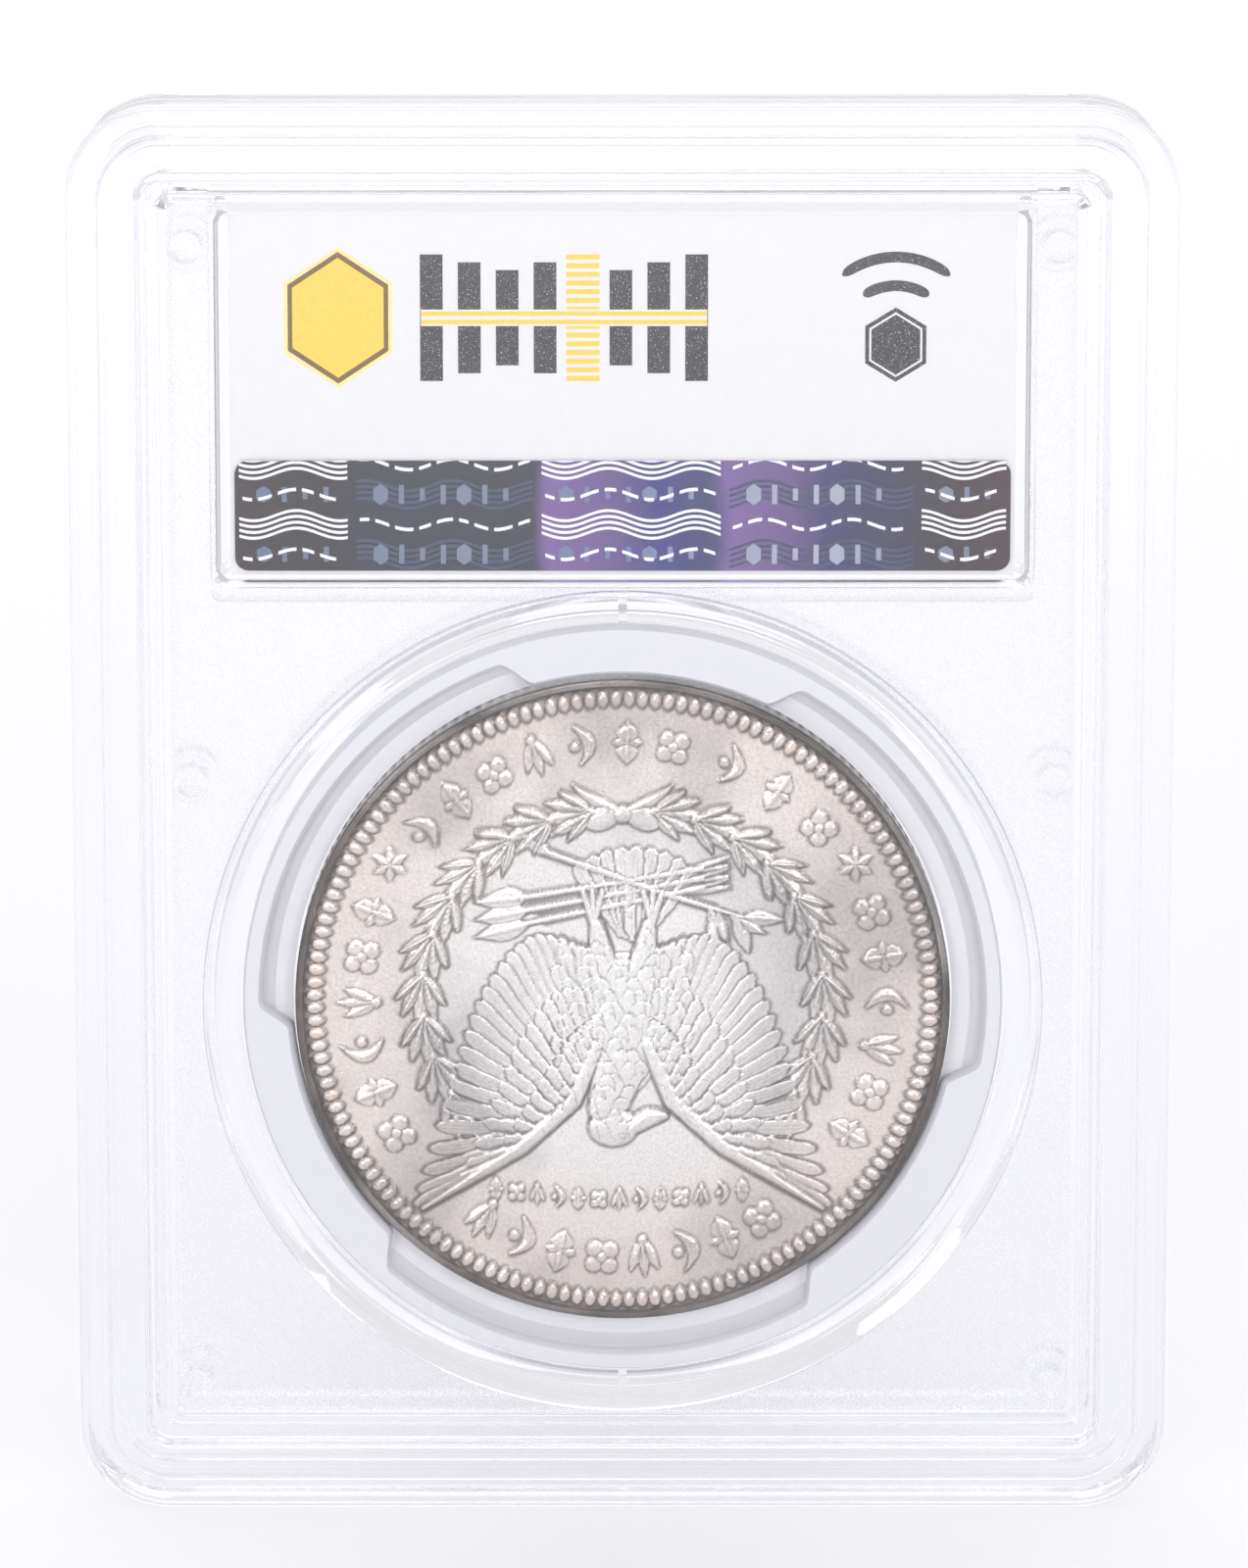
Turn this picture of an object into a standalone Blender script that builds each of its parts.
"""Graded coin slab: a sealed clear holder with a dollar-size coin, a gasket ring and a two-sided label.

Metres, +Z up. The slab stands on its bottom edge with the label compartment at the top. Its rear face
looks along -Y and its front face along +Y. The origin is on the ground under the middle of the slab.
"""

import math

import bmesh
import bpy
from mathutils import Matrix, Vector

MM = 0.001

# Driving dimensions of the closed holder.
SLAB_WIDTH = 63.5 * MM
SLAB_HEIGHT = 82.55 * MM
SLAB_THICKNESS = 7.9 * MM
SEAM_GAP = 0.3 * MM
CENTRE_Z = SLAB_HEIGHT / 2

# Depths are distances from the seam plane, the same on both halves.
RIM_TOP = SLAB_THICKNESS / 2
FLANGE_DEPTH = RIM_TOP - 0.45 * MM
LEDGE_DEPTH = RIM_TOP - 0.70 * MM
FIELD_DEPTH = RIM_TOP - 1.35 * MM
FLOOR_DEPTH = 1.5 * MM
SEAM_DEPTH = SEAM_GAP / 2

# The rim's steps, as distances in from the outer edge, and the corner radius at each.
CORNER_RADIUS = 5.2 * MM
EDGE_FILLET = 0.5 * MM
RIDGE_OUTER = 1.9 * MM
RIDGE_INNER = 3.9 * MM
LEDGE_OUTER = 4.25 * MM
LEDGE_INNER = 5.15 * MM
FIELD_EDGE = 5.65 * MM
WELD_LAND = 4.6 * MM
RIDGE_CHAMFER = 0.15 * MM
RIDGE_OUTER_CORNER = 3.6 * MM
RIDGE_INNER_CORNER = 1.5 * MM
LEDGE_OUTER_CORNER = 1.2 * MM
LEDGE_INNER_CORNER = 0.8 * MM
FIELD_CORNER = 0.5 * MM
CAVITY_CORNER = 1.1 * MM
CORNER_STEPS = 6
FILLET_STEPS = 3

# Weld joint: a tongue round the rear half sits in a groove round the front half.
TONGUE_OUTER = 1.5 * MM
TONGUE_INNER = 2.3 * MM
TONGUE_REACH = 0.6 * MM
JOINT_CLEARANCE = 0.3 * MM

# Coin compartment.
COIN_Z = 30.1 * MM
COIN_RADIUS = 19.05 * MM
COIN_THICKNESS = 2.4 * MM
COIN_RIM_WIDTH = 1.0 * MM
COIN_FIELD_SINK = 0.25 * MM
COIN_BEVEL = 0.15 * MM
COIN_FIELD_SLOPE = 0.2 * MM
COIN_STEPS = 96
GASKET_OUTER = 22.1 * MM
GASKET_INNER = 20.9 * MM
GASKET_THICKNESS = 2.6 * MM
GASKET_STEPS = 144
WEB_INNER = COIN_RADIUS + 0.15 * MM
WEB_REAR = 0.2 * MM
WEB_FRONT = 0.4 * MM
PRONG_CLEARANCE = 0.2 * MM
PRONG_CENTRES = (85.0, 205.0, 325.0)
PRONG_HALF_ANGLE = 22.5
PRONG_FLARE = 2.5
WELL_INNER = 22.4 * MM
WELL_OUTER = 23.4 * MM
WELL_NOTCH = 0.5 * MM
NOTCH_CENTRE = 0.7 * MM
NOTCH_DEPTH = 1.3 * MM
WINDOW_BASE = 24.4 * MM
WINDOW_TOP = 23.15 * MM
WINDOW_DEPTH = RIM_TOP - 0.65 * MM
WINDOW_STEP = 0.05 * MM
WINDOW_ROUNDING = 0.2 * MM
WINDOW_CREST = 0.08 * MM
ROUND_STEPS = 72

# Label compartment.
LABEL_WIDTH = 45.1 * MM
LABEL_HEIGHT = 21.8 * MM
LABEL_Z = 65.8 * MM
LABEL_CORNER = 0.5 * MM
PAPER = 0.25 * MM
POCKET_CLEARANCE = 0.4 * MM
POCKET_WALL = 0.8 * MM
POCKET_INNER_CORNER = 0.3 * MM
POCKET_OUTER_CORNER = 0.6 * MM
WALL_SETBACK = 0.05 * MM
PANE_SIDE_MARGIN = 1.12 * MM
PANE_END_MARGIN = 0.27 * MM
PANE_SLOPE = 0.6 * MM
PANE_CORNER = 0.7 * MM
PANE_STEP = 0.1 * MM
PANE_DEPTH = RIM_TOP - 0.75 * MM
REAR_LABEL_Y = -0.73 * MM
FRONT_LABEL_Y = 0.73 * MM
HOLOGRAM_WIDTH = 44.6 * MM
HOLOGRAM_HEIGHT = 6.4 * MM
HOLOGRAM_RISE = 0.6 * MM
HOLOGRAM_CORNER = 0.8 * MM
HOLOGRAM_Y = -1.04 * MM
FOIL = 0.08 * MM

# Contactless tag between the two labels.
TAG_WIDTH = 42.0 * MM
TAG_HEIGHT = 18.0 * MM
TAG_FILM_Y = -0.56 * MM
TAG_FILM = 0.10 * MM
TAG_COIL_Y = -0.44 * MM
TAG_COIL = 0.06 * MM
TAG_TRACK = 0.35 * MM
TAG_PITCH = 0.8 * MM
TAG_TURNS = 4
TAG_MARGIN = 0.8 * MM
TAG_CORNER = 0.5 * MM
CHIP_CORNER = 0.1 * MM
CHIP_SIDE = 1.4 * MM
CHIP_Y = -0.26 * MM
CHIP = 0.24 * MM

# Locating pins of the rear half and their sockets in the front half.
PIN_X = 25.0 * MM
PIN_HEIGHTS = (7.1 * MM, 43.1 * MM, 74.2 * MM)
PIN_RADIUS = 0.9 * MM
PIN_REACH = 0.9 * MM
SOCKET_RADIUS = 1.2 * MM
SOCKET_BOSS = 1.6 * MM
SOCKET_END = 1.3 * MM
BOSS_SETBACK = 0.02 * MM
PIN_STEPS = 20

ROOT_BITE = 0.3 * MM


def clear_scene():
    for obj in list(bpy.data.objects):
        bpy.data.objects.remove(obj)


def material(name, colour, roughness, metallic=0.0, transmission=0.0, alpha=1.0, ior=1.5):
    """A plain finish for one piece."""
    mat = bpy.data.materials.new(name)
    mat.use_nodes = True
    shader = mat.node_tree.nodes["Principled BSDF"]
    shader.inputs["Base Color"].default_value = (*colour, 1.0)
    shader.inputs["Roughness"].default_value = roughness
    shader.inputs["Metallic"].default_value = metallic
    shader.inputs["Transmission Weight"].default_value = transmission
    shader.inputs["Alpha"].default_value = alpha
    shader.inputs["IOR"].default_value = ior
    return mat


def add_object(name, bm, mat=None, sharp_angle=30.0):
    """A new object from a bmesh, with its faces turned outwards and round parts shaded smooth."""
    bmesh.ops.recalc_face_normals(bm, faces=bm.faces)
    mesh = bpy.data.meshes.new(name)
    bm.to_mesh(mesh)
    bm.free()
    mesh.shade_smooth()
    mesh.set_sharp_from_angle(angle=math.radians(sharp_angle))
    obj = bpy.data.objects.new(name, mesh)
    if mat:
        mesh.materials.append(mat)
    bpy.context.scene.collection.objects.link(obj)
    return obj


def helper(obj):
    """Marks an object as a tool for a Boolean, left out of the model."""
    obj.hide_render = True
    obj.display_type = "WIRE"
    return obj


def boolean(target, tool, operation):
    """Joins a tool to a target, or cuts it out, when the model is evaluated."""
    modifier = target.modifiers.new(tool.name, "BOOLEAN")
    modifier.operation = operation
    modifier.solver = "EXACT"
    modifier.object = helper(tool)


def rounded_rectangle(width, height, radius, centre_z, depth):
    """Points of a rounded rectangle in the XZ plane at y = depth."""
    points = []
    for corner, (sx, sz) in enumerate(((1, 1), (-1, 1), (-1, -1), (1, -1))):
        cx = sx * (width / 2 - radius)
        cz = centre_z + sz * (height / 2 - radius)
        for step in range(CORNER_STEPS + 1):
            angle = math.radians(90 * (corner + step / CORNER_STEPS))
            points.append((cx + radius * math.cos(angle), depth, cz + radius * math.sin(angle)))
    return points


def circle(radius, depth, steps=ROUND_STEPS):
    """Points of a circle round the coin's axis at y = depth."""
    angles = [2 * math.pi * i / steps for i in range(steps)]
    return [(radius * math.cos(a), depth, COIN_Z + radius * math.sin(a)) for a in angles]


def loft(loops, ring=False):
    """A bmesh skin over closed loops of equal length, capped at both ends or, as a ring, joined up."""
    bm = bmesh.new()
    rows = [[bm.verts.new(p) for p in loop] for loop in loops]
    count = len(rows[0])
    pairs = list(zip(rows, rows[1:]))
    if ring:
        pairs.append((rows[-1], rows[0]))
    else:
        bm.faces.new(rows[0])
        bm.faces.new(rows[-1])
    for low, high in pairs:
        for i in range(count):
            j = (i + 1) % count
            bm.faces.new((low[i], low[j], high[j], high[i]))
    return bm


def rim_loops(profile, side):
    """Loops round the slab's outline for (inset, corner radius, depth) rows of a profile."""
    return [
        rounded_rectangle(SLAB_WIDTH - 2 * inset, SLAB_HEIGHT - 2 * inset, radius, CENTRE_Z, side * depth)
        for inset, radius, depth in profile
    ]


def edge_profile():
    """The outer wall from the seam to the flange face, with its rounded edge."""
    rows = [(0.0, CORNER_RADIUS, SEAM_DEPTH)]
    for step in range(FILLET_STEPS + 1):
        angle = math.radians(90 * step / FILLET_STEPS)
        inset = EDGE_FILLET * (1 - math.cos(angle))
        depth = FLANGE_DEPTH - EDGE_FILLET * (1 - math.sin(angle))
        rows.append((inset, CORNER_RADIUS - inset, depth))
    return rows


def cavity_profile(joint_inner, joint_outer, joint_depth):
    """The inner floor, its wall and the weld land, with the tongue or groove of the weld joint."""
    return [
        (WELD_LAND, CAVITY_CORNER, FLOOR_DEPTH),
        (WELD_LAND, CAVITY_CORNER, SEAM_DEPTH),
        (joint_inner, CORNER_RADIUS - joint_inner, SEAM_DEPTH),
        (joint_inner, CORNER_RADIUS - joint_inner, joint_depth),
        (joint_outer, CORNER_RADIUS - joint_outer, joint_depth),
        (joint_outer, CORNER_RADIUS - joint_outer, SEAM_DEPTH),
    ]


def rear_profile():
    """A stacking ridge near the outer edge, with a ledge inside it for the next slab's ridge."""
    rows = cavity_profile(TONGUE_INNER, TONGUE_OUTER, -TONGUE_REACH) + edge_profile()
    rows += [
        (RIDGE_OUTER - RIDGE_CHAMFER, RIDGE_OUTER_CORNER + RIDGE_CHAMFER, FLANGE_DEPTH),
        (RIDGE_OUTER, RIDGE_OUTER_CORNER, RIM_TOP - RIDGE_CHAMFER),
        (RIDGE_OUTER + RIDGE_CHAMFER, RIDGE_OUTER_CORNER - RIDGE_CHAMFER, RIM_TOP),
        (RIDGE_INNER - RIDGE_CHAMFER, RIDGE_INNER_CORNER + RIDGE_CHAMFER, RIM_TOP),
        (RIDGE_INNER, RIDGE_INNER_CORNER, RIM_TOP - RIDGE_CHAMFER),
        (LEDGE_OUTER, LEDGE_OUTER_CORNER, LEDGE_DEPTH),
        (LEDGE_INNER, LEDGE_INNER_CORNER, LEDGE_DEPTH),
        (FIELD_EDGE, FIELD_CORNER, FIELD_DEPTH),
    ]
    return rows


def front_profile():
    """A wide flange and a narrow ridge that drops inside the rear ridge of the slab stacked on it."""
    groove_depth = TONGUE_REACH + JOINT_CLEARANCE
    rows = cavity_profile(TONGUE_INNER + JOINT_CLEARANCE, TONGUE_OUTER - JOINT_CLEARANCE, groove_depth)
    rows += edge_profile()
    rows += [
        (LEDGE_OUTER - RIDGE_CHAMFER, LEDGE_OUTER_CORNER + RIDGE_CHAMFER, FLANGE_DEPTH),
        (LEDGE_OUTER, LEDGE_OUTER_CORNER, RIM_TOP - RIDGE_CHAMFER),
        (LEDGE_OUTER + RIDGE_CHAMFER, LEDGE_OUTER_CORNER - RIDGE_CHAMFER, RIM_TOP),
        (LEDGE_INNER - RIDGE_CHAMFER, LEDGE_INNER_CORNER + RIDGE_CHAMFER, RIM_TOP),
        (LEDGE_INNER, LEDGE_INNER_CORNER, RIM_TOP - RIDGE_CHAMFER),
        (FIELD_EDGE, FIELD_CORNER, FIELD_DEPTH),
    ]
    return rows


def label_pane(name, side):
    """The raised clear window over the label."""
    root = FIELD_DEPTH - ROOT_BITE
    width = LABEL_WIDTH + 2 * PANE_SIDE_MARGIN
    height = LABEL_HEIGHT + 2 * PANE_END_MARGIN
    rows = ((0.0, root), (0.0, FIELD_DEPTH + PANE_STEP), (PANE_SLOPE, PANE_DEPTH))
    loops = [
        rounded_rectangle(width - 2 * inset, height - 2 * inset, PANE_CORNER, LABEL_Z, side * depth)
        for inset, depth in rows
    ]
    return add_object(name, loft(loops))


def coin_window(name, side):
    """The raised clear window over the coin, with a broad sloping edge."""
    rows = (
        (WINDOW_BASE, FIELD_DEPTH - ROOT_BITE),
        (WINDOW_BASE, FIELD_DEPTH + WINDOW_STEP),
        (WINDOW_TOP + WINDOW_ROUNDING, WINDOW_DEPTH - WINDOW_CREST),
        (WINDOW_TOP, WINDOW_DEPTH),
    )
    return add_object(name, loft([circle(radius, side * depth) for radius, depth in rows]))


def pocket_wall(name, side):
    """The rectangular wall that frames the label."""
    inner_width = LABEL_WIDTH + 2 * POCKET_CLEARANCE
    inner_height = LABEL_HEIGHT + 2 * POCKET_CLEARANCE
    shapes = []
    for grow, radius in ((0.0, POCKET_INNER_CORNER), (POCKET_WALL, POCKET_OUTER_CORNER)):
        width = inner_width + 2 * grow
        height = inner_height + 2 * grow
        for depth in (FLOOR_DEPTH + ROOT_BITE, SEAM_DEPTH + WALL_SETBACK):
            shapes.append(rounded_rectangle(width, height, radius, LABEL_Z, side * depth))
    inner_low, inner_high, outer_low, outer_high = shapes
    return add_object(name, loft([inner_low, inner_high, outer_high, outer_low], ring=True))


def coin_well(name, side):
    """The round wall that holds the gasket ring."""
    low = side * (FLOOR_DEPTH + ROOT_BITE + WALL_SETBACK)
    high = side * SEAM_DEPTH
    rows = ((WELL_INNER, low), (WELL_INNER, high), (WELL_OUTER, high), (WELL_OUTER, low))
    return add_object(name, loft([circle(radius, depth) for radius, depth in rows], ring=True))


def well_notches(name, side):
    """A cutter for the two narrow vents through the coin well, at its top and bottom."""
    bm = bmesh.new()
    for direction in (1, -1):
        middle = COIN_Z + direction * (WELL_INNER + WELL_OUTER) / 2
        centre = Vector((0.0, side * NOTCH_CENTRE, middle))
        size = Vector((WELL_NOTCH, NOTCH_DEPTH, 2 * (WELL_OUTER - WELL_INNER)))
        placed = Matrix.Translation(centre) @ Matrix.Diagonal(size).to_4x4()
        bmesh.ops.create_cube(bm, size=1.0, matrix=placed)
    return add_object(name, bm)


def round_posts(name, side, radius, near, far):
    """Round posts at the locating pins' places, between two depths."""
    bm = bmesh.new()
    length = abs(far - near)
    upright = Matrix.Rotation(math.radians(90), 4, "X")
    for x in (-PIN_X, PIN_X):
        for z in PIN_HEIGHTS:
            bmesh.ops.create_cone(
                bm,
                cap_ends=True,
                segments=PIN_STEPS,
                radius1=radius,
                radius2=radius,
                depth=length,
                matrix=Matrix.Translation((x, side * (near + far) / 2, z)) @ upright,
            )
    return add_object(name, bm)


def shell(name, profile, side, mat):
    """One half of the holder: rim, field and floor, with its windows and inner walls."""
    obj = add_object(name, loft(rim_loops(profile, side)), mat)
    boolean(obj, label_pane(name + "_pane", side), "UNION")
    boolean(obj, coin_window(name + "_window", side), "UNION")
    boolean(obj, pocket_wall(name + "_pocket", side), "UNION")
    boolean(obj, coin_well(name + "_well", side), "UNION")
    boolean(obj, well_notches(name + "_vents", side), "DIFFERENCE")
    return obj


def clear_plastic(name):
    return material(name, (0.95, 0.96, 0.98), 0.05, transmission=1.0, ior=1.59)


def rear_shell():
    """The half with the stacking recess, the weld tongue and the locating pins."""
    obj = shell("rear_shell", rear_profile(), -1, clear_plastic("clear_rear"))
    pins = round_posts("rear_pins", -1, PIN_RADIUS, FLOOR_DEPTH + ROOT_BITE, -PIN_REACH)
    boolean(obj, pins, "UNION")


def front_shell():
    """The half with the narrow ridge, the weld groove and the pins' sockets."""
    obj = shell("front_shell", front_profile(), 1, clear_plastic("clear_front"))
    boss_end = SEAM_DEPTH + BOSS_SETBACK
    bosses = round_posts("front_bosses", 1, SOCKET_BOSS, FLOOR_DEPTH + ROOT_BITE, boss_end)
    sockets = round_posts("front_sockets", 1, SOCKET_RADIUS, SOCKET_END, -SEAM_DEPTH)
    boolean(obj, bosses, "UNION")
    boolean(obj, sockets, "DIFFERENCE")


def gasket_radius(angle):
    """The gasket's inner radius at an angle in degrees: three prongs reach in to the coin's edge."""
    prong = COIN_RADIUS + PRONG_CLEARANCE
    nearest = min(abs((angle - centre + 180) % 360 - 180) for centre in PRONG_CENTRES)
    reach = (PRONG_HALF_ANGLE + PRONG_FLARE - nearest) / (2 * PRONG_FLARE)
    reach = min(max(reach, 0.0), 1.0)
    return GASKET_INNER + (prong - GASKET_INNER) * reach


def gasket_ring():
    """A pale flexible ring that centres the coin, with a thin web across the gaps between its prongs."""
    angles = [360 * i / GASKET_STEPS for i in range(GASKET_STEPS)]
    inner = [gasket_radius(angle) for angle in angles]
    web = [WEB_INNER] * GASKET_STEPS
    outer = [GASKET_OUTER] * GASKET_STEPS
    half = GASKET_THICKNESS / 2
    rows = (
        (inner, -half),
        (inner, WEB_REAR),
        (web, WEB_REAR),
        (web, WEB_FRONT),
        (inner, WEB_FRONT),
        (inner, half),
        (outer, half),
        (outer, -half),
    )
    loops = []
    for radii, depth in rows:
        turned = [(radius, math.radians(angle)) for radius, angle in zip(radii, angles)]
        loops.append([(r * math.cos(a), depth, COIN_Z + r * math.sin(a)) for r, a in turned])
    rubber = material("gasket", (0.88, 0.88, 0.90), 0.35, alpha=0.8)
    add_object("gasket_ring", loft(loops, ring=True), rubber)


def coin():
    """A struck silver disc with a raised rim and sunk fields on both faces."""
    half = COIN_THICKNESS / 2
    inner = COIN_RADIUS - COIN_RIM_WIDTH
    rows = [
        (inner - COIN_FIELD_SLOPE, -half + COIN_FIELD_SINK),
        (inner, -half),
        (COIN_RADIUS - COIN_BEVEL, -half),
        (COIN_RADIUS, -half + COIN_BEVEL),
        (COIN_RADIUS, half - COIN_BEVEL),
        (COIN_RADIUS - COIN_BEVEL, half),
        (inner, half),
        (inner - COIN_FIELD_SLOPE, half - COIN_FIELD_SINK),
    ]
    loops = [circle(radius, depth, COIN_STEPS) for radius, depth in rows]
    add_object("coin", loft(loops), material("silver", (0.78, 0.75, 0.70), 0.28, metallic=1.0))


def sheet(name, size, radius, centre_z, outer_y, thickness, mat):
    """A flat rounded sheet whose rear face is at outer_y."""
    faces = (outer_y, outer_y + thickness)
    loops = [rounded_rectangle(*size, radius, centre_z, depth) for depth in faces]
    add_object(name, loft(loops), mat)


def labels():
    """A printed label on each side, with a foil strip along the bottom of the rear one."""
    size = (LABEL_WIDTH, LABEL_HEIGHT)
    for name, rear_y in (("rear_label", REAR_LABEL_Y - PAPER), ("front_label", FRONT_LABEL_Y)):
        paper = material(name, (0.93, 0.93, 0.94), 0.6)
        sheet(name, size, LABEL_CORNER, LABEL_Z, rear_y, PAPER, paper)
    strip = (HOLOGRAM_WIDTH, HOLOGRAM_HEIGHT)
    centre = LABEL_Z - LABEL_HEIGHT / 2 + HOLOGRAM_RISE + HOLOGRAM_HEIGHT / 2
    foil = material("hologram_foil", (0.03, 0.03, 0.09), 0.2, metallic=0.6)
    sheet("hologram_strip", strip, HOLOGRAM_CORNER, centre, HOLOGRAM_Y - FOIL, FOIL, foil)


def spiral_corners():
    """Corner points, in X and Z, of the tag's rectangular coil from its outer end inwards."""
    points = []
    for turn in range(TAG_TURNS):
        left, x = (TAG_WIDTH / 2 - TAG_MARGIN - step * TAG_PITCH for step in (max(turn - 1, 0), turn))
        z = TAG_HEIGHT / 2 - TAG_MARGIN - turn * TAG_PITCH
        points += [(-left, -z), (x, -z), (x, z), (-x, z)]
    return [Vector(point) for point in points]


def track_edges(points):
    """Both edges of a flat track along a path with square corners."""
    edges = ([], [])
    runs = [(b - a).normalized() for a, b in zip(points, points[1:])]
    for i, point in enumerate(points):
        sides = [Vector((-run.y, run.x)) for run in runs[max(i - 1, 0) : i + 1]]
        mitre = sum(sides, Vector((0.0, 0.0))) * TAG_TRACK / 2
        edges[0].append(point + mitre)
        edges[1].append(point - mitre)
    return edges


def tag_antenna():
    """The tag's flat spiral track."""
    left, right = track_edges(spiral_corners())
    bm = bmesh.new()
    rows = []
    for near, far in zip(left, right):
        rear = TAG_COIL_Y - TAG_COIL
        section = ((near, rear), (far, rear), (far, TAG_COIL_Y), (near, TAG_COIL_Y))
        rows.append([bm.verts.new((point.x, y, LABEL_Z + point.y)) for point, y in section])
    bm.faces.new(rows[0])
    bm.faces.new(rows[-1])
    for low, high in zip(rows, rows[1:]):
        for i in range(4):
            j = (i + 1) % 4
            bm.faces.new((low[i], low[j], high[j], high[i]))
    add_object("tag_antenna", bm, material("tag_metal", (0.75, 0.76, 0.78), 0.3, metallic=1.0))


def tag():
    """The contactless tag: a clear film, its antenna and its chip."""
    film = material("tag_film", (0.9, 0.9, 0.88), 0.3)
    size = (TAG_WIDTH, TAG_HEIGHT)
    sheet("tag_film", size, TAG_CORNER, LABEL_Z, TAG_FILM_Y - TAG_FILM, TAG_FILM, film)
    tag_antenna()
    dark = material("tag_chip", (0.03, 0.03, 0.035), 0.4)
    sheet("tag_chip", (CHIP_SIDE, CHIP_SIDE), CHIP_CORNER, LABEL_Z, CHIP_Y - CHIP, CHIP, dark)


def main():
    clear_scene()
    rear_shell()
    front_shell()
    gasket_ring()
    coin()
    labels()
    tag()


main()
